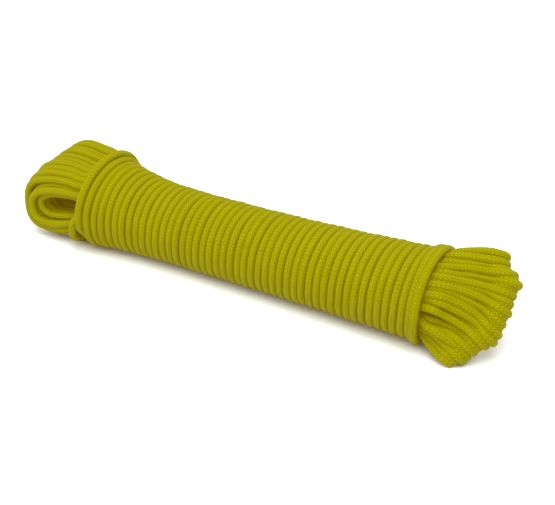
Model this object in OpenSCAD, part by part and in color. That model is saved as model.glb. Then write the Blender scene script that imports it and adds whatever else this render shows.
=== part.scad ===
// Machine-wound hank of braided cord. The cord is folded to and fro into a bundle of runs,
// the folds stand out at both ends, and the last part of the cord is wound round the middle.
// +X runs from the eye end to the fan end, +Z is up, and the hank lies on the plane z = 0.

/* [Cord] */
// Diameter of the cord
cord_d = 4; // [3:0.5:5]
// Diameter of the space inside the braided sheath
sheath_bore = 2.5; // [2.3:0.1:2.8]
// Diameter of one core yarn
yarn_d = 0.78; // [0.6:0.02:0.8]

/* [Wrap] */
// Number of tight turns round the middle
tight_turns = 44; // [30:1:50]
// Number of loose turns over the eye end
loose_turns = 4; // [3:1:6]
// Radius over the turns at the waist
waist_r = 19.9; // [19.5:0.1:21]
// Radius over the turns where they meet the fan end
fan_end_r = 22.6; // [22:0.1:23.4]
// Radius over the loose turns at the eye end
loose_r = 26; // [25.6:0.1:27]
// How far the doubled last turn stands proud
collar_proud = 1.8; // [1:0.1:2.4]
// Width of the doubled last turn
collar_w = 6; // [5:0.5:7]

/* [Eye end] */
// Reach of the eye past the wrap
eye_reach = 34.8; // [32:0.2:38]
// Height of the slot through the eye
slot_h = 7.6; // [6:0.2:9]
// Width of the stack of folds round the eye, along the winding pin
eye_stack_w = 40; // [36:1:42]
// Lean of the winding pin at the eye end
eye_lean = 14; // [8:1:16]

/* [Fan end] */
// Reach of the longest folds past the last turn
fan_reach = 32; // [28:0.5:36]
// Lean of the sheet of folds at the fan end
fan_lean = 51; // [46:1:55]
// Thickness of the sheet of folds
fan_t = 13.6; // [11:0.2:14]
// Thickness of the group that has dropped to the ground
dropped_t = 8.4; // [7:0.2:9]

/* [Cord ends] */
// Length of the stub that shows at each cut end
stub_len = 20; // [14:1:22]
// Length of the heat-sealed tip
tip_len = 3; // [2:0.5:4]

/* [Hidden] */
$fn = 64;
cord_yellow = [0.66, 0.62, 0.05];
core_white = [0.9, 0.9, 0.86];
tip_yellow = [0.5, 0.44, 0.08];

// Room left between neighbouring stretches of cord, and a length that outruns any cut
gap = 0.3;
far = 400;

// Stations along the hank: eye tip, loose turns, tight turns, doubled turn, fan tip
wrap_len = (tight_turns + loose_turns) * cord_d;
total_len = eye_reach + wrap_len + collar_w + fan_reach;
x_eye_tip = -total_len / 2;
x_loose = x_eye_tip + eye_reach;
x_tight = x_loose + loose_turns * cord_d;
x_collar = x_tight + tight_turns * cord_d;
x_fan = x_collar + collar_w;

// Height of the bundle's axis: low enough for the turns to lie flattened on the ground
axis_z = waist_r - 0.3;
loose_z = axis_z + 4;
waist_x = x_tight + 0.31 * (x_collar - x_tight);
tight_end_r = waist_r + 3.4;

// Radius over the tight turns at a station: a waist that widens to both ends
function turn_r(x) = x < waist_x
    ? waist_r + (tight_end_r - waist_r) * pow((waist_x - x) / (waist_x - x_tight), 3)
    : waist_r + (fan_end_r - waist_r) * pow((x - waist_x) / (x_collar - waist_x), 2);
stations = 22;
function station(i) = x_tight + (x_collar - x_tight) * i / stations;

// Points of an arc in a plane, for rounding the corners of an outline
function arc(c, r, a0, a1, n = 10) = [
    for (i = [0 : n]) c + r * [cos(a0 + (a1 - a0) * i / n), sin(a0 + (a1 - a0) * i / n)]
];

// Everything above the ground plane
module above_ground() {
    intersection() {
        children();
        translate([-far / 2, -far / 2, 0]) cube([far, far, far]);
    }
}

// A solid of revolution about the hank's axis: the outline is given as [radius, x]
module about_axis(z, outline) {
    translate([0, 0, z]) rotate([0, 90, 0]) rotate_extrude() polygon(outline);
}

// ---- Bundle and wrap ----

module bundle_runs() {
    inset = cord_d + gap;
    color(cord_yellow)
        about_axis(axis_z, concat(
            [[0, x_tight]],
            [for (i = [0 : stations]) [turn_r(station(i)) - inset, station(i)]],
            [[turn_r(x_collar) - inset, x_fan], [0, x_fan]]
        ));
}

module wrap_turns() {
    color(cord_yellow) above_ground()
        about_axis(axis_z, concat(
            [for (i = [0 : stations]) [turn_r(station(i)), station(i)]],
            [for (i = [stations : -1 : 0]) [turn_r(station(i)) - cord_d, station(i)]]
        ));
}

module flared_turns() {
    shrink = loose_r - 1.6;
    color(cord_yellow) above_ground()
        about_axis(loose_z, [
            [loose_r - cord_d, x_loose],
            [loose_r, x_loose],
            [loose_r, x_loose + cord_d],
            [shrink, x_tight],
            [shrink - cord_d, x_tight]
        ]);
}

module collar_turn() {
    collar_r = fan_end_r + collar_proud;
    rim = collar_w / 3;
    color(cord_yellow) above_ground()
        about_axis(axis_z, concat(
            [[fan_end_r - cord_d, x_collar]],
            arc([collar_r - rim, x_collar + rim], rim, -90, 0),
            arc([collar_r - rim, x_fan - rim], rim, 0, 90),
            [[fan_end_r - cord_d, x_fan]]
        ));
}

// ---- Eye end: folds stacked like an onion round the slot where the winding pin was ----

slot_r = slot_h / 2;
layer_t = cord_d;
eye_layers = 3;
x_slot_centre = x_eye_tip + eye_layers * layer_t + slot_r;
slot_len = 28;
eye_z = axis_z + 6;

// A flat bar with a round left end, reaching from there to the tight turns
module round_bar(r) {
    translate([x_slot_centre, 0]) circle(r);
    translate([x_slot_centre, -r]) square([x_tight - x_slot_centre, 2 * r]);
}

// The slot, round at both ends
module slot_outline() {
    translate([x_slot_centre, 0]) circle(slot_r);
    translate([x_slot_centre, -slot_r]) square([slot_len - 2 * slot_r, slot_h]);
    translate([x_slot_centre + slot_len - 2 * slot_r, 0]) circle(slot_r);
}

// One layer of folds, trimmed to pass inside the loose turns
module eye_layer(layer) {
    r_out = slot_r + layer * layer_t - (layer < eye_layers ? gap : 0);
    r_in = slot_r + (layer - 1) * layer_t;
    color(cord_yellow) intersection() {
        translate([0, 0, eye_z]) rotate([eye_lean, 0, 0]) rotate([90, 0, 0])
            translate([0, 0, -eye_stack_w / 2]) linear_extrude(eye_stack_w)
                difference() {
                    round_bar(r_out);
                    if (layer > 1) round_bar(r_in);
                    if (layer == 1) slot_outline();
                }
        eye_room();
    }
}

// The room the eye may fill: all of the space before the wrap, then the bore of the loose turns
module eye_room() {
    translate([x_loose - gap - far, -far / 2, 0]) cube([far, far, far]);
    translate([x_loose - 1, 0, loose_z]) rotate([0, 90, 0])
        cylinder(r = loose_r - 1.6 - cord_d - gap, h = x_tight - x_loose + 1);
}

module eye_inner_bights() { eye_layer(1); }
module eye_middle_bights() { eye_layer(2); }
module eye_outer_bights() { eye_layer(3); }

// ---- Fan end: a leaning sheet of folds, in groups that splay apart ----

// Places across the sheet, measured up its slope from the bundle's axis
root_edges = [-18.6, -14.2, -5.2, 6.4, 18.2];
tip_low = [-27.4, -20.2, -6.6, 11.2];
tip_high = [-20.8, -9.4, 10.6, 26.6];
tip_reach = [0.55, 0.86, 1, 0.8];

// A group of folds: a slab from the last turn to rounded tips
module fan_group(i, t, corner_r) {
    x_tip = x_fan + tip_reach[i] * fan_reach - corner_r;
    outline = concat(
        [[x_fan, root_edges[i] + gap / 2]],
        arc([x_tip, tip_low[i] + corner_r], corner_r, -90, 0),
        arc([x_tip, tip_high[i] - corner_r], corner_r, 0, 90),
        [[x_fan, root_edges[i + 1] - gap / 2]]
    );
    color(cord_yellow) above_ground()
        translate([0, 0, axis_z + 2]) rotate([fan_lean, 0, 0])
            translate([0, 0, -t / 2]) linear_extrude(t) polygon(outline);
}

module dropped_bights() { fan_group(0, dropped_t, 3); }
module fan_lower_bights() { fan_group(1, fan_t, 4); }
module fan_middle_bights() { fan_group(2, fan_t, 6); }
module fan_upper_bights() { fan_group(3, fan_t, 6); }

// ---- Cut ends: sheath, core yarns and sealed tip, tucked out at the back ----

run_at = [x_fan + gap, 10, 6.2];
run_turn = [0, 6, 8];
stand_at = [x_loose - gap, 11, 5.2];
stand_turn = [0, 4, 172];

// Places a cut end, which runs along +X from the point where it leaves the wrap
module at_end(at, turn) {
    translate(at) rotate([0, 0, turn[2]]) rotate([0, turn[1], 0]) rotate([0, 90, 0]) children();
}

module end_sheath(at, turn) {
    color(cord_yellow) at_end(at, turn) difference() {
        cylinder(d = cord_d, h = stub_len);
        translate([0, 0, -1]) cylinder(d = sheath_bore, h = stub_len + 2);
    }
}

// Six yarns round a seventh
module end_core(at, turn) {
    ring_r = yarn_d + 0.02;
    color(core_white) at_end(at, turn) {
        cylinder(d = yarn_d, h = stub_len, $fn = 24);
        for (i = [0 : 5]) rotate(60 * i) translate([ring_r, 0, 0])
            cylinder(d = yarn_d, h = stub_len, $fn = 24);
    }
}

// The melted end: a short plug with a domed face
module end_tip(at, turn) {
    dome = 1;
    plug_r = cord_d / 2;
    color(tip_yellow) at_end(at, turn) translate([0, 0, stub_len])
        rotate_extrude() polygon(concat(
            [[0, 0], [plug_r, 0]],
            arc([plug_r - dome, tip_len - dome], dome, 0, 90),
            [[0, tip_len]]
        ));
}

module running_end_sheath() { end_sheath(run_at, run_turn); }
module running_end_core() { end_core(run_at, run_turn); }
module running_end_tip() { end_tip(run_at, run_turn); }
module standing_end_sheath() { end_sheath(stand_at, stand_turn); }
module standing_end_core() { end_core(stand_at, stand_turn); }
module standing_end_tip() { end_tip(stand_at, stand_turn); }

bundle_runs();
wrap_turns();
flared_turns();
collar_turn();
eye_inner_bights();
eye_middle_bights();
eye_outer_bights();
fan_upper_bights();
fan_middle_bights();
fan_lower_bights();
dropped_bights();
running_end_sheath();
running_end_core();
running_end_tip();
standing_end_sheath();
standing_end_core();
standing_end_tip();
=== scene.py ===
"""Looks of a machine-wound hank of braided cord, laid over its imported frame.

Lengths are in metres. Routes are worked out in pitches first: one pitch is the step from one
turn of the wrap to the next, and it is also the cord's nominal diameter.
"""

import logging
import math
from dataclasses import dataclass, field
from enum import Enum

import bmesh
import bpy
import numpy as np
from mathutils import Matrix, Vector


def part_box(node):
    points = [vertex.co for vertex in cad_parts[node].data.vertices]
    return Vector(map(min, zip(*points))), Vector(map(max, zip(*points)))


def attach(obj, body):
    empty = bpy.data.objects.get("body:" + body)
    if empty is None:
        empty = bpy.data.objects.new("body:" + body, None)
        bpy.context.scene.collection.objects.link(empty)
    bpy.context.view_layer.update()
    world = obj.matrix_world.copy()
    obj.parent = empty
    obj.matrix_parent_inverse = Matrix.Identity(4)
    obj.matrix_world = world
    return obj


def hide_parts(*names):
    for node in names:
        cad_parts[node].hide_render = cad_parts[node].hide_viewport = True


log = logging.getLogger("hank")
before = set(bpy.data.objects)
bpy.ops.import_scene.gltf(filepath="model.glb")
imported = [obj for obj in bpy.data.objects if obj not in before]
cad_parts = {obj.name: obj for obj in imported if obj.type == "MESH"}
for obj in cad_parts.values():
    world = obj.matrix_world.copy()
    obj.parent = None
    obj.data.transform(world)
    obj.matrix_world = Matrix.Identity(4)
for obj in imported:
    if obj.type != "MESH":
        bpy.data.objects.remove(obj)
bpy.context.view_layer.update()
BODY = "root"
WELD = 1e-6  # metres within which two vertices are one
STRAIGHT = 1e-18  # squared change of direction below which the cord is straight


# ---------------------------------------------------------------- sizes


@dataclass(frozen=True)
class Gauge:
    """The cord itself.

    pitch is one turn to the next, radius is out to the crowns of the braid, carriers is the
    number of yarns in the sheath and relief is the depth of the gaps between the crowns.
    """

    pitch: float = 0.004
    radius: float = 0.00212
    carriers: int = 16
    relief: float = 0.00017

    @property
    def ring_step(self) -> float:
        """Half the length of a crown, which keeps the braid at 45 degrees."""
        return 2 * math.pi * self.radius / self.carriers


GAUGE = Gauge()


def smooth(x: np.ndarray | float, low: float, high: float) -> np.ndarray | float:
    """Eases from 0 at low to 1 at high."""
    t = np.clip((np.asarray(x, float) - low) / (high - low), 0.0, 1.0)
    return t * t * (3 - 2 * t)


@dataclass(frozen=True)
class BodyShape:
    """The wrapped body: a waist that widens to both ends, in pitches.

    A rise holds the power with which the radius grows from the waist to an end, and where the
    growth stops, as a share of the way from the waist to that end.
    """

    mouth_x: float
    tight_x: float
    last_x: float
    waist_r: float = 4.975
    fan_r: float = 5.65
    tight_r: float = 5.825
    waist_at: float = 0.31
    eye_rise: tuple[float, float] = (3, 1.25)
    fan_rise: tuple[float, float] = (2, 1.1)
    axis_z: float = 5.0
    lift: float = 0.7

    def radius(self, x: np.ndarray | float) -> np.ndarray:
        """Radius over the turns.

        Args:
            x: stations along the hank.

        Returns:
            The radius at each station.
        """
        x = np.asarray(x, float)
        waist = self.tight_x + self.waist_at * (self.last_x - self.tight_x)
        power, limit = self.eye_rise
        share = np.clip((waist - x) / (waist - self.tight_x), 0, limit)
        left = (self.tight_r - self.waist_r) * share**power
        power, limit = self.fan_rise
        share = np.clip((x - waist) / (self.last_x - waist), 0, limit)
        right = (self.fan_r - self.waist_r) * share**power
        return self.waist_r + left + right

    def height(self, x: np.ndarray | float) -> np.ndarray:
        """Height of the axis, which rises where the body is thick."""
        return self.axis_z + self.lift * (self.radius(x) - self.waist_r)


# ---------------------------------------------------------------- routes


PER_SPAN = 8  # points that a spline makes from one knot to the next


def spline(knots: np.ndarray) -> np.ndarray:
    """A smooth curve through knots, by centripetal Catmull-Rom.

    Args:
        knots: points of the route, one row each.

    Returns:
        The points of the curve.
    """
    ends = np.vstack([2 * knots[0] - knots[1], knots, 2 * knots[-1] - knots[-2]])
    gaps = np.sqrt(np.maximum(np.linalg.norm(np.diff(ends, axis=0), axis=1), 1e-6))
    out = []
    for i in range(1, len(ends) - 2):
        p0, p1, p2, p3 = ends[i - 1:i + 3]
        g0, g1, g2 = gaps[i - 1:i + 2]
        m1 = g1 * ((p1 - p0) / g0 - (p2 - p0) / (g0 + g1) + (p2 - p1) / g1)
        m2 = g1 * ((p2 - p1) / g1 - (p3 - p1) / (g1 + g2) + (p3 - p2) / g2)
        t = np.linspace(0, 1, PER_SPAN, endpoint=False)[:, None]
        out.append(
            (2 * t**3 - 3 * t**2 + 1) * p1 + (t**3 - 2 * t**2 + t) * m1
            + (3 * t**2 - 2 * t**3) * p2 + (t**3 - t**2) * m2
        )
    return np.vstack(out + [knots[-1:]])


def respaced(points: np.ndarray, step: float) -> np.ndarray:
    """The same curve with its points a fixed step apart."""
    along = np.concatenate([[0], np.cumsum(np.linalg.norm(np.diff(points, axis=0), axis=1))])
    wanted = np.arange(0, along[-1], step)
    return np.stack([np.interp(wanted, along, points[:, k]) for k in range(3)], 1)


@dataclass(frozen=True)
class FanStrand:
    """One fold of the fan, as places along the hank past the last turn and across the sheet.

    root is its place across the bundle where it leaves the wrap, route holds the points on its
    way out, tip is the far point of its fold, and fold_r is the radius of the fold, which is
    also how high the strand lies on the sheet.
    """

    root: float
    route: tuple[tuple[float, float], ...]
    tip: tuple[float, float]
    fold_r: float


# The folds from the lowest, which has dropped to the ground, to the highest
FAN_STRANDS = (
    FanStrand(-4.7, ((1.4, -5.3), (2.1, -5.8), (2.9, -6.3), (3.8, -6.65)), (4.5, -6.85), 0.9),
    FanStrand(-4.1, ((1.9, -4.2), (2.9, -4.65), (3.6, -5.05), (4.7, -5.65)), (5.5, -6.1), 1.3),
    FanStrand(-3.6, ((2.3, -4.0), (3.7, -4.4), (4.5, -4.7), (5.5, -5.15)), (5.85, -5.5), 1.0),
    FanStrand(-3.4, ((1.5, -3.8), (2.7, -3.8), (3.9, -3.9), (5.2, -4.3)), (6.4, -4.85), 1.5),
    FanStrand(-2.0, ((1.7, -1.95), (2.8, -2.05), (3.9, -2.3), (5.6, -2.85)), (7.45, -3.8), 1.5),
    FanStrand(-1.2, ((2.1, -1.0), (3.5, -1.1), (4.8, -1.3), (6.3, -1.85)), (8.2, -3.2), 1.3),
    FanStrand(-0.6, ((1.9, -0.35), (3.4, -0.3), (4.7, -0.5), (6.3, -1.05)), (8.45, -2.25), 1.5),
    FanStrand(0.0, ((1.9, 0.35), (3.4, 0.4), (4.9, 0.2), (6.4, -0.1)), (8.55, -1.0), 1.3),
    FanStrand(0.6, ((1.9, 0.8), (3.5, 1.0), (5.0, 1.1), (6.6, 0.9)), (8.8, 0.35), 1.5),
    FanStrand(1.1, ((1.9, 1.3), (3.4, 1.5), (4.8, 1.7), (6.4, 1.8)), (8.7, 1.4), 1.3),
    FanStrand(1.6, ((1.9, 1.7), (3.4, 2.0), (4.8, 2.25), (6.5, 2.4)), (8.7, 2.4), 1.5),
    FanStrand(2.2, ((1.7, 2.3), (3.0, 2.6), (4.2, 3.0), (5.8, 3.3)), (9.0, 3.7), 1.25),
    FanStrand(2.9, ((1.5, 3.0), (2.7, 3.4), (4.0, 3.8), (5.7, 4.15)), (8.25, 4.6), 1.5),
    FanStrand(3.5, ((1.4, 3.7), (2.5, 4.0), (3.7, 4.35), (5.4, 4.7)), (7.4, 4.9), 1.3),
    FanStrand(4.1, ((1.2, 4.5), (2.5, 4.9), (3.8, 5.2), (5.3, 5.45)), (7.0, 5.6), 1.55),
    FanStrand(4.5, ((1.1, 5.0), (2.0, 5.45), (3.4, 5.9), (5.0, 6.3)), (6.75, 6.45), 1.3),
)


@dataclass(frozen=True)
class LegStack:
    """Where the legs at the eye lie on one side of the sheet, in pitches.

    inmost and outmost each pair column numbers with places out from the sheet, for the layer
    next to the sheet and the one furthest from it. lean_in says how far the end columns of each
    layer are drawn in, and back_share how much of that the back columns take.
    """

    inmost: tuple[tuple[float, ...], tuple[float, ...]]
    outmost: tuple[tuple[float, ...], tuple[float, ...]]
    lean_in: tuple[float, float, float]
    back_share: float = 1.0


UPPER_LEGS = LegStack(
    inmost=((0, 1, 3, 8, 10), (1.1, 1.45, 2.1, 2.3, 1.9)),
    outmost=((0, 1, 2, 3, 6, 8, 10), (3.35, 4.0, 4.4, 4.6, 4.75, 4.95, 4.85)),
    lean_in=(0.0, 0.45, 1.1),
    back_share=0.55,
)
LOWER_LEGS = LegStack(
    inmost=((0, 1, 3, 10), (1.7, 1.8, 2.1, 1.8)),
    outmost=((0, 1, 2, 3, 8, 9, 10), (3.5, 4.2, 4.6, 4.8, 4.8, 4.4, 3.8)),
    lean_in=(0.0, 0.2, 0.7),
)


@dataclass(frozen=True)
class EyeShape:
    """The folds that close the eye, in pitches.

    knee and tip are how far past the mouth a fold starts to turn and how far it reaches: for
    the front column, then what is lost over the front half of the columns and over the back
    half. A fold is a superellipse: round_below and round_above hold its exponent for the
    outermost layer and what each layer further in, or the back column, takes from it. unevenness
    is the most that a fold strays: across, at its top, at its bottom and in its reach.
    """

    lean: float = math.radians(12)
    lean_over: tuple[float, float] = (-0.5, 7.0)
    z: float = 6.0
    half: float = 4.85
    layer_growth: float = 1.2
    layer_step: float = 0.9
    arch: float = 1.2
    knee: tuple[float, float, float] = (5.0, 0.5, 1.0)
    tip: tuple[float, float, float] = (8.7, 0.25, 1.2)
    round_below: tuple[float, float] = (3.3, 0.75)
    round_above: tuple[float, float, float] = (2.45, 0.2, 0.6)
    angles: tuple[int, ...] = (-90, -70, -48, -24, 0, 24, 48, 70, 90)
    unevenness: tuple[float, float, float, float] = (0.09, 0.11, 0.06, 0.16)
    # How far past the mouth, and the share of its full spread that the stack has there
    squeeze: tuple[tuple[float, float], ...] = ((0.0, 0.87), (1.4, 0.95), (3.2, 1.0))
    # How much more the top of the front column is held down there
    hold: float = 1.1


@dataclass(frozen=True)
class FanShape:
    """The ball of runs that leaves the wrap for the fan, in pitches.

    share is how much of its height over the sheet a strand keeps at each point of its route.
    Outer strands carry the ball's full size, every other one tucked a little between its
    neighbours; inner strands fill the gaps, and fall and end a little short of them.
    """

    lean: float = math.radians(51)
    z: float = 5.5
    ball: float = 4.65
    flattest: float = 0.17
    across_outer: float = 0.98
    across_inner: float = 0.88
    height_tucked: float = 0.94
    height_inner: float = 0.76
    share: tuple[float, ...] = (1.0, 0.6, 0.3, 0.0)
    inner_fold_r: float = 1.15
    inner_fall: float = 0.12
    inner_short: float = 0.2
    least_height: float = 0.55
    # The first point past the wrap, and how much of the ball's size is left there
    out_x: float = 0.2
    out_share: float = 0.95
    # A route's last point is left out if its fold would start closer than this
    least_gap: float = 0.3
    angles: tuple[int, ...] = (75, 38, 0, -38, -75)


@dataclass(frozen=True)
class BundleShape:
    """The closed bundle of runs under the wrap, in pitches.

    shut_over is the stretch past the mouth in which the slot of the eye closes. turn_over is
    the stretch, inside the first and last turns, over which runs change from their places at
    the eye to those at the fan. wall is how far their axes stay inside the body's surface.
    """

    shut_over: tuple[float, float] = (0.6, 4.0)
    turn_over: tuple[float, float] = (3.0, 8.0)
    wall: float = 1.55
    open_size: float = 5.1
    across: float = 0.97
    layers: tuple[float, float, float] = (0.13, 0.5, 0.9)
    ends: tuple[float, float] = (1.6, 2.0)
    stations: int = 13


@dataclass
class FoldRoutes:
    """Works out the folded part of the cord: runs under the wrap and folds at both ends.

    A cross-section is given by a place across it and a place out from its middle sheet. The
    sheet lies level where the wrap begins, leans back at the fan and leans the other way
    towards the tip of the eye. At the eye the legs stand in columns from front to back.
    """

    shape: BodyShape
    eye: EyeShape = EyeShape()
    fan: FanShape = FanShape()
    bundle: BundleShape = BundleShape()
    loops: int = 2 * len(FAN_STRANDS)
    layers: int = 3
    rng: np.random.Generator = field(default_factory=lambda: np.random.default_rng(7))

    @property
    def last_column(self) -> int:
        """Number of the back column at the eye; the front one is 0."""
        return (self.loops - 1) // self.layers

    def place(self, x: float, across: float, out: float, lean: float, z: float) -> list[float]:
        """A point given in the leaning frame of a cross-section."""
        c, s = math.cos(lean), math.sin(lean)
        return [x, across * c - out * s, z + across * s + out * c]

    def fan_place(self, x: float, across: float, out: float) -> list[float]:
        """A point of the fan, measured from the last turn."""
        return self.place(self.shape.last_x + x, across, out, self.fan.lean, self.fan.z)

    def eye_place(self, x: float, across: float, out: float) -> list[float]:
        """A point of the eye, whose columns stand upright on a sheet that leans towards its tip."""
        lean = self.eye.lean * float(smooth(self.shape.mouth_x - x, *self.eye.lean_over))
        return [x, across, self.eye.z + across * math.tan(lean) + out]

    def eye_leg(self, i: int, side: int) -> tuple[float, float]:
        """Place of a leg at the eye, three legs to a column on each side of the sheet.

        The front column holds its legs lower than the others, so the stack has a rounded
        front, while its back keeps a square shoulder.

        Args:
            i: which loop.
            side: 1 for its upper leg, -1 for its lower leg.

        Returns:
            Its places across and out, in pitches.
        """
        column, layer = divmod(i, self.layers)
        stack = UPPER_LEGS if side > 0 else LOWER_LEGS
        across = (column / self.last_column * 2 - 1) * self.eye.half
        near = np.interp(column, *stack.inmost)
        far = np.interp(column, *stack.outmost)
        shift = stack.lean_in[layer] * (1.0 if across < 0 else stack.back_share)
        out = near + (far - near) * (layer / (self.layers - 1)) ** self.eye.layer_growth
        return across - shift * (across / self.eye.half) ** 3, side * float(out)

    def round_place(self, i: int, side: int) -> tuple[float, float]:
        """Place of a run in the closed bundle behind the eye, as shares of its radius."""
        column, layer = divmod(i, self.layers)
        across = (column / self.last_column * 2 - 1) * self.bundle.across
        out = self.bundle.layers[layer]
        return across * math.sqrt(1 - out**2 / 2), side * out * math.sqrt(1 - across**2 / 2)

    def fan_unit(self, i: int, side: int) -> tuple[float, float]:
        """Place of a run in the round bundle at the fan end, as shares of its radius."""
        fan = self.fan
        k, outer = divmod(i, 2)
        root = FAN_STRANDS[k].root if outer else self.between(k).root
        across = max(-1.0, min(1.0, root / fan.ball))
        out = max(fan.flattest, math.sqrt(max(0.0, 1 - across * across)))
        size = fan.across_outer if outer else fan.across_inner
        return across * size, side * out * self.height_share(k, outer)

    def height_share(self, k: int, outer: int) -> float:
        """How high a strand lies in the ball: every other one is tucked between its neighbours."""
        if not outer:
            return self.fan.height_inner
        return self.fan.height_tucked if k % 2 else 1.0

    def between(self, k: int) -> FanStrand:
        """The inner strand that fills the gap above outer strand k."""
        low, high = FAN_STRANDS[k], FAN_STRANDS[min(k + 1, len(FAN_STRANDS) - 1)]
        mean = tuple(tuple((a + b) / 2 for a, b in zip(*pair)) for pair in zip(low.route, high.route))
        tip = ((low.tip[0] + high.tip[0]) / 2, (low.tip[1] + high.tip[1]) / 2)
        return FanStrand((low.root + high.root) / 2, mean, tip, self.fan.inner_fold_r)

    def hidden(self, x: float, i_left: int, i_right: int, side: int) -> list[float]:
        """A point of a run under the wrap, where the slot of the eye closes to a round bundle.

        Args:
            x: station along the hank.
            i_left: which loop it belongs to at the eye.
            i_right: which loop it belongs to at the fan.
            side: 1 for an upper run, -1 for a lower run.

        Returns:
            The point, in pitches.
        """
        shape, bundle = self.shape, self.bundle
        turned = float(smooth(x, shape.tight_x + bundle.turn_over[0], shape.last_x - bundle.turn_over[1]))
        shut = float(smooth(x, *(shape.mouth_x + d for d in bundle.shut_over)))
        room = float(shape.radius(x)) - bundle.wall
        open_a, open_b = (c / bundle.open_size for c in self.eye_leg(i_left, side))
        shut_a, shut_b = self.round_place(i_left, side)
        a0 = open_a + shut * (shut_a - open_a)
        b0 = open_b + shut * (shut_b - open_b)
        a1, b1 = self.fan_unit(i_right, side)
        across = room * (a0 + turned * (a1 - a0))
        out = room * (b0 + turned * (b1 - b0))
        return self.place(x, across, out, turned * self.fan.lean, float(shape.height(x)))

    def eye_fold(self, i: int) -> list[list[float]]:
        """The fold of loop i round the eye, from its lower leg to its upper leg."""
        eye, mouth = self.eye, self.shape.mouth_x
        column, layer = divmod(i, self.layers)
        back = column / self.last_column
        inner = self.layers - 1 - layer
        stray = self.rng.uniform(-1, 1, 4) * eye.unevenness
        above, rise = self.eye_leg(i, 1)
        below, drop = self.eye_leg(i, -1)
        above, below = above + stray[0], below + stray[0]
        rise, drop = rise + stray[1], drop - stray[2]
        middle, size = (rise + drop) / 2, (rise - drop) / 2
        knee, tip = (
            front - first * min(1.0, 2 * back) - second * max(0.0, 2 * back - 1)
            for front, first, second in (eye.knee, eye.tip)
        )
        reach = tip - knee - inner * eye.layer_step + stray[3]
        bend = []
        for degrees in eye.angles:
            turn = math.radians(degrees)
            if degrees < 0:
                power = 2 / (eye.round_below[0] - eye.round_below[1] * inner)
            else:
                power = 2 / (eye.round_above[0] - eye.round_above[1] * inner - eye.round_above[2] * back)
            early = eye.arch if degrees > 0 else 0.0
            x = mouth - knee + early - (reach + early) * abs(math.cos(turn)) ** power
            up = middle + math.copysign(size * abs(math.sin(turn)) ** power, turn)
            across = below + (above - below) * (up - drop) / (rise - drop)
            bend.append(self.eye_place(x, across, up))
        hold = eye.hold * (1 - back)
        lower = [self.eye_place(mouth - d, below * part, drop * part) for d, part in eye.squeeze]
        upper = [
            self.eye_place(mouth - d, above, rise * (1 - hold * (1 - part))) for d, part in eye.squeeze[1::-1]
        ]
        return lower + bend + upper

    def fan_fold(self, i: int) -> list[list[float]]:
        """The fold of loop i at the fan end, from its front strand to its back strand."""
        fan = self.fan
        k, outer = divmod(i, 2)
        strand = FAN_STRANDS[k] if outer else self.between(k)
        fold_r = strand.fold_r
        root = max(-fan.ball, min(fan.ball, strand.root))
        height = max(fold_r, math.sqrt(fan.ball**2 - root**2) * self.height_share(k, outer))
        fall = 0.0 if outer else fan.inner_fall
        sides = [(fan.out_x, strand.root * fan.out_share, height * fan.out_share)]
        for (x, across), share in zip(strand.route, fan.share):
            out = fold_r + (height - fold_r) * share - fall * (1 - share)
            sides.append((x, across, max(fan.least_height, out)))
        near, tip = np.array(strand.route[-1]), np.array(strand.tip)
        heading = (tip - near) / np.linalg.norm(tip - near)
        end = tip - heading * (fold_r + (0.0 if outer else fan.inner_short))
        if (end - near) @ heading < fan.least_gap:
            sides.pop()
        front = [self.fan_place(x, across, out) for x, across, out in sides]
        back = [self.fan_place(x, across, -out) for x, across, out in sides]
        bend = []
        for degrees in fan.angles:
            turn = math.radians(degrees)
            spot = end + heading * fold_r * math.cos(turn)
            bend.append(self.fan_place(spot[0], spot[1], fold_r * math.sin(turn)))
        return front + bend + back[::-1]

    def runs(self, i_left: int, i_right: int, side: int) -> list[list[float]]:
        """The hidden run from left to right, without its ends."""
        first, last = self.shape.mouth_x + self.bundle.ends[0], self.shape.last_x - self.bundle.ends[1]
        stations = np.linspace(first, last, self.bundle.stations)
        return [self.hidden(float(x), i_left, i_right, side) for x in stations]

    def loop_route(self, i: int) -> list[list[float]]:
        """Loop i: upper run, fan fold, lower run, and the eye fold of the next loop."""
        points = self.runs(i, i, 1) + self.fan_fold(i)
        if i + 1 < self.loops:
            points += self.runs(i + 1, i, -1)[::-1] + self.eye_fold(i + 1)
        return points


def ripple(t: np.ndarray, size: float, rate: float, phase: float) -> np.ndarray:
    """A slow wave along the winding, which keeps the turns from lying like a machine thread."""
    return size * np.sin(rate * t + phase)


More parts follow.
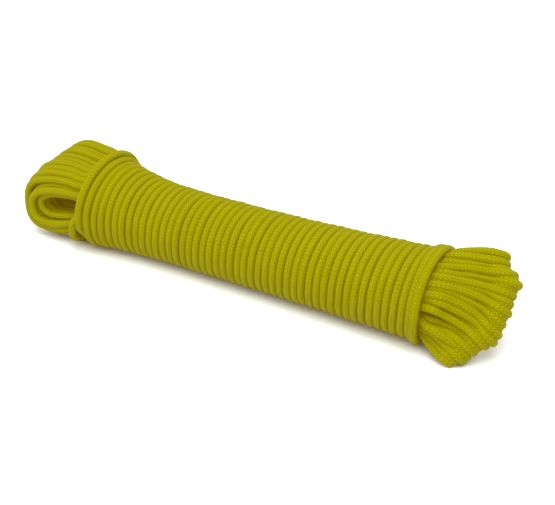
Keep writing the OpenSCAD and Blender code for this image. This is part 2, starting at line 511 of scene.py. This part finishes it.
@dataclass(frozen=True)
class WrapRoute:
    """Works out the wound part of the cord: a helix round the bundle, then a proud last turn.

    Lengths are in pitches, and counts in turns. The first turns lean towards the fan at the top
    (tilt) and stand off the bundle (slack), and every turn lags at the bottom (drag).
    """

    shape: BodyShape
    turns: float = 47.6
    per_turn: int = 40
    lead: float = 0.2
    first: float = 1.4
    cord_r: float = 0.5
    tilt: float = 0.8
    tilt_turns: float = 4.5
    slack: float = 0.55
    slack_turns: float = 2.4
    slack_below: float = 0.3
    drag: float = 0.7
    drag_power: float = 1.5
    # The last turns lie closer together and climb over the ones before
    close_turns: float = 1.6
    close_step: float = 0.72
    proud: float = 0.35
    proud_over: tuple[float, float] = (-0.1, 0.4)
    # Unevenness along the hank and of the radius: size, radians per turn and phase of each wave
    sway: tuple[tuple[float, float, float], ...] = ((0.03, 1.7, 0.6), (0.025, 1.22 * math.pi, 1.1))
    swell: tuple[tuple[float, float, float], ...] = (
        (0.025, 2.3, 1.0), (0.025, 0.9 - 6 * math.pi, 3 * math.pi),
    )
    # The way out from under the first turn, down the front and back up: the place along from the
    # mouth, the angle round the axis in degrees and the depth below the turns
    start: tuple[tuple[float, float, float], ...] = (
        (4.6, 200, 3.4), (3.0, 180, 2.3), (1.8, 176, 1.35), (1.05, 184, 0.8), (0.4, 193, 0.2),
        (-0.15, 204, -0.1), (-0.8, 219, -0.2), (-1.2, 235, -0.1), (-1.2, 250, 0.0), (-0.85, 260, 0.0),
        (-0.25, 264, 0.0), (0.35, 260, 0.0),
    )

    def points(self) -> np.ndarray:
        """Points of the helix from the eye end to the fan end."""
        t = np.linspace(-self.lead, self.turns, int((self.turns + self.lead) * self.per_turn))
        close = self.turns - self.close_turns
        theta = 2 * math.pi * (0.5 - t)
        top, bottom = np.maximum(0, np.sin(theta)), np.maximum(0, -np.sin(theta))
        x = self.shape.mouth_x + self.first + np.minimum(t, close)
        x = x + self.close_step * np.maximum(t - close, 0)
        x = x + sum(ripple(t, *wave) for wave in self.sway)
        x = x + (1 - smooth(t, 0, self.tilt_turns)) * self.tilt * top
        x = x - self.drag * bottom**self.drag_power
        r = self.shape.radius(x) - self.cord_r + sum(ripple(t, *wave) for wave in self.swell)
        r = r + (1 - smooth(t, 0, self.slack_turns)) * self.slack * (self.slack_below + top)
        r = r + self.proud * smooth(t, *(close + d for d in self.proud_over))
        return np.stack([x, r * np.cos(theta), self.shape.height(x) + r * np.sin(theta)], 1)

    def way_in(self) -> list[list[float]]:
        """Knots from inside the bundle to the start of the first turn."""
        knots = []
        for along, degrees, depth in self.start:
            x = self.shape.mouth_x + along
            r = float(self.shape.radius(x)) - self.cord_r - depth
            turn = math.radians(degrees)
            knots.append([x, r * math.cos(turn), float(self.shape.height(x)) + r * math.sin(turn)])
        return knots


# ---------------------------------------------------------------- the whole cord


@dataclass(frozen=True)
class CutEnd:
    """A cut end of the cord, as the frame lays it: where it leaves the wrap and its heading."""

    at: tuple[float, float, float]
    pitch_deg: float
    yaw_deg: float
    length: float = 0.020

    @property
    def heading(self) -> np.ndarray:
        """Unit vector along the stub."""
        p, y = math.radians(self.pitch_deg), math.radians(self.yaw_deg)
        return np.array([math.cos(y) * math.cos(p), math.sin(y) * math.cos(p), -math.sin(p)])

    def along(self, distance: float) -> np.ndarray:
        """A point on the stub's axis, in pitches."""
        return (np.array(self.at) + self.heading * distance) / GAUGE.pitch


STANDING = CutEnd((-0.0979, 0.011, 0.0052), 4, 172)
RUNNING = CutEnd((0.1007, 0.010, 0.0062), 6, 8)


class Cord:
    """The one continuous cord: its centreline, the frames along it, and the pieces cut from it."""

    # Distances along the stubs, from the cut of the standing end and to that of the running end
    STANDING_STEPS = (STANDING.length, 0.013, 0.006, 0.0)
    RUNNING_STEPS = (0.001, 0.008, 0.014, RUNNING.length)
    # Knots that take the standing end into the bundle: along from the mouth, across and height
    WAY_IN = ((3, 2.1, 2.4), (9, 0.6, 3.4))
    # The first run's points that this way in takes the place of
    SKIPPED = 5
    # The return run's loop at the eye, the station where it ends and its points
    RETURN_LOOP = 5
    RETURN_END = -16
    RETURN_POINTS = 10
    # Points of the helix that are left to the curve at each of its ends
    JOIN = 6
    # Direction that turns the braid's seam at the first ring
    FIRST_UP = (0.0, 0.3, 1.0)

    def __init__(self, shape: BodyShape) -> None:
        """Routes the cord.

        Args:
            shape: the wrapped body that the cord has to fill.
        """
        folds = FoldRoutes(shape)
        winding = WrapRoute(shape)
        wrap = winding.points()
        start = [STANDING.along(d) for d in self.STANDING_STEPS]
        start += [np.array([shape.mouth_x + along, across, height]) for along, across, height in self.WAY_IN]
        sections = [start + folds.loop_route(0)[self.SKIPPED:]]
        sections += [folds.loop_route(i) for i in range(1, folds.loops)]
        stations = np.linspace(shape.last_x - folds.bundle.ends[1], self.RETURN_END, self.RETURN_POINTS)
        to_wrap = [folds.hidden(x, self.RETURN_LOOP, folds.loops - 1, -1) for x in stations]
        sections.append(to_wrap + winding.way_in())
        knots = np.array([p for s in sections for p in s], float)
        marks = np.cumsum([len(s) for s in sections])
        curve = spline(np.vstack([knots, wrap[0], wrap[self.JOIN]]))
        stub = [RUNNING.along(d) for d in self.RUNNING_STEPS]
        tail = spline(np.array([wrap[-self.JOIN - 1], wrap[-1], *stub]))
        route = np.vstack([curve[:-1], wrap[self.JOIN:-1], tail[PER_SPAN:]])
        route[:, 2] = np.maximum(route[:, 2], GAUGE.radius / GAUGE.pitch)
        route *= GAUGE.pitch
        self.rings = respaced(route, GAUGE.ring_step)
        self.normals, self.binormals = self.frames(self.rings)
        along = np.concatenate([[0], np.cumsum(np.linalg.norm(np.diff(route, axis=0), axis=1))])
        ring_at = [int(along[min(m * PER_SPAN, len(along) - 1)] / GAUGE.ring_step) for m in marks]
        wrap_start = int(along[len(curve)] / GAUGE.ring_step)
        self.marks = ring_at[:-1] + [wrap_start]

    @staticmethod
    def frames(points: np.ndarray) -> tuple[np.ndarray, np.ndarray]:
        """Frames along a curve that turn with it and never spin about it.

        Args:
            points: the centres of the rings.

        Returns:
            A normal and a binormal for each ring.
        """
        tangents = np.gradient(points, axis=0)
        tangents /= np.linalg.norm(tangents, axis=1)[:, None]
        normal = np.cross(tangents[0], Cord.FIRST_UP)
        normal /= np.linalg.norm(normal)
        normals = [normal]
        for i in range(len(points) - 1):
            v = points[i + 1] - points[i]
            c = v @ v
            mirrored = normal - v * (2 / c * (v @ normal))
            t = tangents[i] - v * (2 / c * (v @ tangents[i]))
            w = tangents[i + 1] - t
            c = w @ w
            normal = mirrored if c < STRAIGHT else mirrored - w * (2 / c * (w @ mirrored))
            normals.append(normal)
        normals = np.array(normals)
        normals -= tangents * (normals * tangents).sum(1)[:, None]
        normals /= np.linalg.norm(normals, axis=1)[:, None]
        return normals, np.cross(tangents, normals)

    def piece(self, name: str, first: int, last: int) -> bpy.types.Object:
        """Makes the braided tube over a stretch of rings.

        Args:
            name: the new object's name.
            first: index of its first ring.
            last: index of its last ring, which it shares with the next stretch.

        Returns:
            The object, with its UV map following the braid.
        """
        sides = GAUGE.carriers
        count = last - first + 1
        bm = bmesh.new()
        bm.loops.layers.uv.new("braid")
        bmesh.ops.create_grid(bm, x_segments=count - 1, y_segments=sides, size=1.0, calc_uvs=True)
        mesh = bpy.data.meshes.new(name)
        bm.to_mesh(mesh)
        bm.free()
        flat = np.zeros(len(mesh.vertices) * 3, np.float32)
        mesh.vertices.foreach_get("co", flat)
        flat = flat.reshape(-1, 3)
        ring = np.rint((flat[:, 0] + 1) / 2 * (count - 1)).astype(int) + first
        side = np.rint((flat[:, 1] + 1) / 2 * sides).astype(int) % sides
        angle = side * (2 * math.pi / sides)
        high = (ring + side) % 2
        radius = GAUGE.radius - GAUGE.relief * (1 - high)
        where = self.rings[ring] + radius[:, None] * (
            np.cos(angle)[:, None] * self.normals[ring] + np.sin(angle)[:, None] * self.binormals[ring]
        )
        mesh.vertices.foreach_set("co", where.astype(np.float32).ravel())
        layer = mesh.uv_layers["braid"].data
        uv = np.zeros(len(layer) * 2, np.float32)
        layer.foreach_get("uv", uv)
        uv[0::2] = uv[0::2] * (count - 1) / sides + first / sides
        layer.foreach_set("uv", uv)
        bm = bmesh.new()
        bm.from_mesh(mesh)
        open_edges = [e for e in bm.edges if e.is_boundary]
        seam = list({v for e in open_edges for v in e.verts})
        bmesh.ops.remove_doubles(bm, verts=seam, dist=WELD)
        bmesh.ops.holes_fill(bm, edges=[e for e in bm.edges if e.is_boundary], sides=0)
        bmesh.ops.recalc_face_normals(bm, faces=bm.faces[:])
        bm.to_mesh(mesh)
        bm.free()
        mesh.polygons.foreach_set("use_smooth", np.ones(len(mesh.polygons), bool))
        mesh.update()
        obj = bpy.data.objects.new(name, mesh)
        bpy.context.scene.collection.objects.link(obj)
        return obj

    def length(self, first: int, last: int) -> float:
        """Length of a stretch of rings."""
        return float(np.linalg.norm(np.diff(self.rings[first:last + 1], axis=0), axis=1).sum())


class Part(Enum):
    """The stretches that the cord is cut into, with the CAD nodes that each one stands for."""

    LOWER_FOLDS = ("folds_lower", ("dropped_bights", "fan_lower_bights", "standing_end_sheath"))
    MIDDLE_FOLDS = ("folds_middle", ("fan_middle_bights", "eye_inner_bights"))
    UPPER_FOLDS = ("folds_upper", ("eye_middle_bights", "bundle_runs"))
    TOP_FOLDS = ("folds_top", ("fan_upper_bights", "eye_outer_bights"))
    EYE_WRAP = ("wrap_eye_half", ("flared_turns", "wrap_turns"))
    FAN_WRAP = ("wrap_fan_half", ("collar_turn", "running_end_sheath"))


# ---------------------------------------------------------------- shaders


class Wire:
    """A value on its way through a shader, which arithmetic turns into Math nodes."""

    def __init__(self, graph: "Graph", socket: bpy.types.NodeSocket | float) -> None:
        """Wraps an output socket."""
        self.graph = graph
        self.socket = socket

    def _math(self, operation: str, *values: "Wire | float") -> "Wire":
        """Adds one Math node."""
        return self.graph.node("ShaderNodeMath", {"operation": operation}, *values)

    def __add__(self, other: "Wire | float") -> "Wire":
        """Sum."""
        return self._math("ADD", self, other)

    __radd__ = __add__

    def __sub__(self, other: "Wire | float") -> "Wire":
        """Difference."""
        return self._math("SUBTRACT", self, other)

    def __rsub__(self, other: float) -> "Wire":
        """Difference from a number."""
        return self._math("SUBTRACT", other, self)

    def __mul__(self, other: "Wire | float") -> "Wire":
        """Product."""
        return self._math("MULTIPLY", self, other)

    __rmul__ = __mul__

    def __pow__(self, other: float) -> "Wire":
        """Power."""
        return self._math("POWER", self, other)

    def __mod__(self, other: float) -> "Wire":
        """Remainder, always positive."""
        return self._math("FLOORED_MODULO", self, other)

    def floor(self) -> "Wire":
        """Whole part."""
        return self._math("FLOOR", self)

    def fract(self) -> "Wire":
        """Fractional part."""
        return self._math("FRACT", self)

    def hump(self) -> "Wire":
        """Half a sine wave over 0 to 1."""
        return self._math("SINE", self * math.pi)

    def wave(self) -> "Wire":
        """A full cosine wave over 0 to 1."""
        return self._math("COSINE", self * (2 * math.pi))

    def clamp(self, low: float, high: float) -> "Wire":
        """Limits the value."""
        return self._math("MINIMUM", self._math("MAXIMUM", self, low), high)


class Graph:
    """The node tree of one material."""

    def __init__(self, name: str) -> None:
        """Starts an empty material with a surface shader."""
        self.material = bpy.data.materials.new(name)
        self.material.use_nodes = True
        self.tree = self.material.node_tree
        self.tree.nodes.clear()
        self.out = self.tree.nodes.new("ShaderNodeOutputMaterial")
        self.shader = self.tree.nodes.new("ShaderNodeBsdfPrincipled")
        self.tree.links.new(self.shader.outputs[0], self.out.inputs[0])

    def node(self, kind: str, settings: dict | None = None, *values, output: int | str = 0, **named) -> Wire:
        """Adds any node.

        Args:
            kind: the node's type.
            settings: properties set before its inputs.
            values: values or wires for its inputs, in order; None leaves one alone.
            output: which output to return.
            named: values or wires for inputs by name, with _ for a space.

        Returns:
            The chosen output.
        """
        made = self.tree.nodes.new(kind)
        for key, value in (settings or {}).items():
            setattr(made, key, value)
        for i, value in enumerate(values):
            self.feed(made.inputs[i], value)
        for key, value in named.items():
            self.feed(made.inputs[key.replace("_", " ")], value)
        return Wire(self, made.outputs[output])

    def feed(self, socket: bpy.types.NodeSocket, value: object) -> None:
        """Links a wire to an input, or sets its value."""
        if value is None:
            return
        if isinstance(value, Wire):
            self.tree.links.new(value.socket, socket)
        else:
            socket.default_value = value

    def surface(self, **inputs: object) -> None:
        """Sets the surface shader's inputs by name, with _ for a space."""
        for key, value in inputs.items():
            self.feed(self.shader.inputs[key.replace("_", " ")], value)

    def noise(self, spot: Wire, scale: float, detail: float) -> Wire:
        """Noise in space, from 0 to 1."""
        return self.node(
            "ShaderNodeTexNoise", {"noise_dimensions": "3D"}, Vector=spot, Scale=scale, Detail=detail
        )

    def bump(self, height: Wire, strength: float, depth: float) -> Wire:
        """A normal for a surface with this height; depth is in metres."""
        return self.node("ShaderNodeBump", None, Strength=strength, Distance=depth, Height=height)

    def mix(self, factor: "Wire | float", a: object, b: object) -> Wire:
        """Mixes two colours."""
        made = self.tree.nodes.new("ShaderNodeMix")
        made.data_type = "RGBA"
        self.feed(made.inputs["Factor"], factor)
        for socket, value in zip([s for s in made.inputs if s.type == "RGBA"], (a, b)):
            self.feed(socket, value)
        return Wire(self, next(s for s in made.outputs if s.type == "RGBA"))


@dataclass(frozen=True)
class YarnFinish:
    """Braided synthetic yarn in a fluorescent colour.

    The braid's crowns are drawn from the cord's own UV map. plump and ends say how full a crown
    is across its yarns and how much of its height is left where it dives under. The scales are
    those of the noise, per metre, and the rest are shares of a crown's height or of its shade.
    The base colour holds painted light and shade: the lit colour on the crowns and a painted
    shade of the same yarn in the gaps between them.
    """

    name: str = "braided_yarn"
    # Painted light and shade: the yarn's colour where light falls on its crowns, then a painted shade of it,
    # darker and more orange, for the gaps between them
    crown: tuple[float, float, float] = (0.228, 0.232, 0.0001)
    painted_gap_shade: tuple[float, float, float] = (0.128, 0.118, 0.0001)
    # A painted glow: partly the yarn's own fluorescence, partly painted light that lifts its shade towards
    # orange
    painted_glow: tuple[float, float, float] = (0.075, 0.043, 0.0)
    sheen: tuple[float, float, float] = (1.0, 0.95, 0.3)
    specular: float = 0.05
    plump: float = 0.6
    ends: float = 0.45
    fibres: float = 6.0
    fibre_slant: float = 0.7
    fibre_relief: float = 0.06
    fuzz_scale: float = 5200.0
    fuzz_relief: float = 0.16
    fuzz_shade: float = 0.3
    cloud_scale: float = 90.0
    cloud_shade: float = 0.35
    bump: float = 0.55
    bump_depth: float = 0.00025
    # Yarns of one hand catch more light than those that cross them: a painted highlight, as shares of the lit
    # crown colour
    hand_lit_share: float = 0.75
    hand_painted_highlight: float = 0.65
    roughness: float = 0.55
    roughness_gap: float = 0.16
    roughness_fuzz: float = 0.15

    def make(self) -> bpy.types.Material:
        """Builds the material on the cord's own UV map."""
        g = Graph(self.name)
        uv = g.node("ShaderNodeUVMap", {"uv_map": "braid"})
        split = g.node("ShaderNodeSeparateXYZ", None, uv)
        along = Wire(g, split.socket.node.outputs[0]) * (GAUGE.carriers / 2)
        round_it = Wire(g, split.socket.node.outputs[1]) * (GAUGE.carriers / 2)
        a, b = round_it + along, round_it - along
        fa, fb = a.fract(), b.fract()
        parity = (a.floor() + b.floor()) % 2.0
        across = parity * fa + (1 - parity) * fb
        lengthwise = parity * fb + (1 - parity) * fa
        crown = (across.hump() ** self.plump) * (self.ends + (1 - self.ends) * lengthwise.hump())
        fibre = (across * self.fibres + lengthwise * self.fibre_slant).wave()
        spot = g.node("ShaderNodeTexCoord", output="Object")
        cloud = g.noise(spot, self.cloud_scale, 2.0)
        fuzz = g.noise(spot, self.fuzz_scale, 2.0)
        height = crown + fibre * self.fibre_relief + fuzz * self.fuzz_relief
        # Painted light and shade: the higher a spot stands on its crown, the more of the lit colour it gets
        # over the painted gap shade; the noise adds the yarn's own random tone
        lit = crown * (self.hand_lit_share + self.hand_painted_highlight * parity)
        depth = lit + (cloud - 0.5) * self.cloud_shade + (fuzz - 0.5) * self.fuzz_shade
        rough = self.roughness + self.roughness_gap * (1 - crown) + (fuzz - 0.5) * self.roughness_fuzz
        g.surface(
            Base_Color=g.mix(depth.clamp(0.0, 1.0), (*self.painted_gap_shade, 1), (*self.crown, 1)),
            Roughness=rough.clamp(0.3, 0.9),
            Normal=g.bump(height, self.bump, self.bump_depth),
            Specular_IOR_Level=self.specular,
            Specular_Tint=(*self.sheen, 1.0),
            # Painted glow, partly fluorescence and partly painted light in the shade
            Emission_Color=(*self.painted_glow, 1.0),
            Emission_Strength=1.0,
        )
        return g.material


@dataclass(frozen=True)
class CoreFinish:
    """White twisted yarn, as inside the sheath."""

    name: str = "core_yarn"
    colour: tuple[float, float, float] = (0.80, 0.80, 0.74)
    shade: float = 0.8
    strand_scale: float = 4000.0
    roughness: float = 0.8

    def make(self) -> bpy.types.Material:
        """Builds the material on object coordinates."""
        g = Graph(self.name)
        strand = g.noise(g.node("ShaderNodeTexCoord", output="Object"), self.strand_scale, 3.0)
        dark = tuple(self.shade * c for c in self.colour)
        g.surface(
            Base_Color=g.mix(strand, (*dark, 1), (*self.colour, 1)),
            Roughness=self.roughness,
            Normal=g.bump(strand, 0.4, 0.0001),
        )
        return g.material


@dataclass(frozen=True)
class MeltFinish:
    """Yarn melted to a hard plug at a cut end."""

    name: str = "melted_tip"
    pale: tuple[float, float, float] = (0.24, 0.20, 0.012)
    dark: tuple[float, float, float] = (0.09, 0.055, 0.008)
    blot_scale: float = 900.0
    blot_from: float = 0.35
    blot_contrast: float = 2.2
    roughness: float = 0.28
    roughness_pale: float = 0.25

    def make(self) -> bpy.types.Material:
        """Builds the material on object coordinates."""
        g = Graph(self.name)
        blot = g.noise(g.node("ShaderNodeTexCoord", output="Object"), self.blot_scale, 4.0)
        mask = ((blot - self.blot_from) * self.blot_contrast).clamp(0.0, 1.0)
        g.surface(
            Base_Color=g.mix(mask, (*self.dark, 1), (*self.pale, 1)),
            Roughness=self.roughness + self.roughness_pale * mask,
            Normal=g.bump(blot, 0.5, 0.0002),
        )
        return g.material


@dataclass(frozen=True)
class FloorFinish:
    """Plain pale studio floor."""

    name: str = "pale_floor"
    colour: tuple[float, float, float] = (0.92, 0.92, 0.92)
    roughness: float = 0.9

    def make(self) -> bpy.types.Material:
        """Builds the material."""
        g = Graph(self.name)
        g.surface(Base_Color=(*self.colour, 1.0), Roughness=self.roughness)
        return g.material


# ---------------------------------------------------------------- sub-assemblies


class Hank:
    """The hank: one cord cut into stretches, and the sealed tips at its ends."""

    def __init__(self) -> None:
        """Reads the stations of the body from the frame and routes the cord."""
        pitch = GAUGE.pitch
        flare_low, flare_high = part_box("flared_turns")
        collar_low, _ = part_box("collar_turn")
        self.shape = BodyShape(
            mouth_x=flare_low.x / pitch, tight_x=flare_high.x / pitch, last_x=collar_low.x / pitch
        )
        self.cord = Cord(self.shape)
        self.yarn = YarnFinish().make()
        self.melt = MeltFinish().make()

    def build(self) -> None:
        """Makes and dresses every stretch of the cord."""
        marks = self.cord.marks
        quarter = len(marks) // 4
        last = len(self.cord.rings) - 1
        wrap_start = marks[-1]
        middle = (wrap_start + last) // 2
        folds = [marks[part * quarter - 1] for part in (1, 2, 3)]
        cuts = [0, *folds, wrap_start, middle, last]
        for part, first, end in zip(Part, cuts[:-1], cuts[1:]):
            self.stretch(part, first, end)
        log.info("whole cord: %.2f m, %d rings", self.cord.length(0, last), last + 1)

    def stretch(self, part: Part, first: int, end: int) -> None:
        """Makes one stretch of the cord.

        Args:
            part: the stretch's name and the CAD nodes that it stands for.
            first: its first ring.
            end: its last ring.
        """
        name, nodes = part.value
        obj = self.cord.piece(name, first, end)
        obj.data.materials.append(self.yarn)
        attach(obj, BODY)
        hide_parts(*nodes)
        long = self.cord.length(first, end)
        [tuple(p) for p in self.cord.rings[first:end + 1]]
        log.info("%s: %.2f m of cord, %d faces", name, long, len(obj.data.polygons))

    def dress_nodes(self) -> None:
        """Dresses the CAD nodes that stay: the core yarns and the sealed tips."""
        core = CoreFinish().make()
        for name, material in (
            ("running_end_core", core),
            ("standing_end_core", core),
            ("running_end_tip", self.melt),
            ("standing_end_tip", self.melt),
        ):
            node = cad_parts[name]
            node.data.materials.clear()
            node.data.materials.append(material)
            log.info("%s keeps its CAD shape", name)


@dataclass(frozen=True)
class Studio:
    """Floor, lights and camera. Each lamp has a name, a place, a size in metres and a power."""

    azimuth: float = math.radians(30.6)
    elevation: float = math.radians(29.4)
    distance: float = 0.5788
    aim: tuple[float, float, float] = (-0.0016, 0.0, 0.020)
    pan_right: float = 0.0115
    pan_up: float = -0.00266
    lens: float = 76.1
    sensor: float = 36.0
    floor_half: float = 4.0
    world_strength: float = 0.75
    lamps: tuple[tuple[str, tuple[float, float, float], float, float], ...] = (
        ("key", (0.15, -0.35, 1.1), 1.0, 16.0),
        ("fill", (-0.9, -0.7, 0.7), 0.9, 6.0),
        ("rim", (0.6, 0.9, 0.8), 0.8, 5.0),
    )

    def camera(self) -> None:
        """Places the camera."""
        sin_a, cos_a = math.sin(self.azimuth), math.cos(self.azimuth)
        sin_e, cos_e = math.sin(self.elevation), math.cos(self.elevation)
        back = Vector((sin_a * cos_e, -cos_a * cos_e, sin_e))
        right = Vector((cos_a, sin_a, 0))
        up = Vector((-sin_a * sin_e, cos_a * sin_e, cos_e))
        data = bpy.data.cameras.new("camera")
        data.lens = self.lens
        data.sensor_width = self.sensor
        data.clip_start = 0.01
        camera = bpy.data.objects.new("camera", data)
        bpy.context.scene.collection.objects.link(camera)
        place = Vector(self.aim) + back * self.distance + right * self.pan_right + up * self.pan_up
        camera.matrix_world = Matrix.Translation(place) @ Matrix((right, up, back)).transposed().to_4x4()
        bpy.context.scene.camera = camera

    def light(self, name: str, place: tuple[float, float, float], size: float, power: float) -> None:
        """Adds a square soft light that faces the hank."""
        data = bpy.data.lights.new(name, "AREA")
        data.size = size
        data.energy = power
        lamp = bpy.data.objects.new(name, data)
        lamp.location = place
        lamp.rotation_euler = (-Vector(place)).to_track_quat("-Z", "Y").to_euler()
        bpy.context.scene.collection.objects.link(lamp)

    def floor(self) -> None:
        """Lays the floor."""
        bm = bmesh.new()
        bmesh.ops.create_grid(bm, x_segments=1, y_segments=1, size=self.floor_half)
        mesh = bpy.data.meshes.new("floor")
        bm.to_mesh(mesh)
        bm.free()
        mesh.materials.append(FloorFinish().make())
        floor = bpy.data.objects.new("floor", mesh)
        bpy.context.scene.collection.objects.link(floor)

    def build(self) -> None:
        """Sets up the whole studio."""
        self.camera()
        self.floor()
        for lamp in self.lamps:
            self.light(*lamp)
        bpy.context.scene.view_settings.view_transform = "Standard"
        world = bpy.data.worlds.new("world")
        world.use_nodes = True
        backdrop = world.node_tree.nodes["Background"]
        backdrop.inputs["Color"].default_value = (1, 1, 1, 1)
        backdrop.inputs["Strength"].default_value = self.world_strength
        bpy.context.scene.world = world


def main() -> None:
    """Builds the studio and the hank."""
    Studio().build()
    hank = Hank()
    hank.build()
    hank.dress_nodes()


if __name__ == "__main__":
    logging.basicConfig(level=logging.INFO, format="%(name)s: %(message)s")
    main()
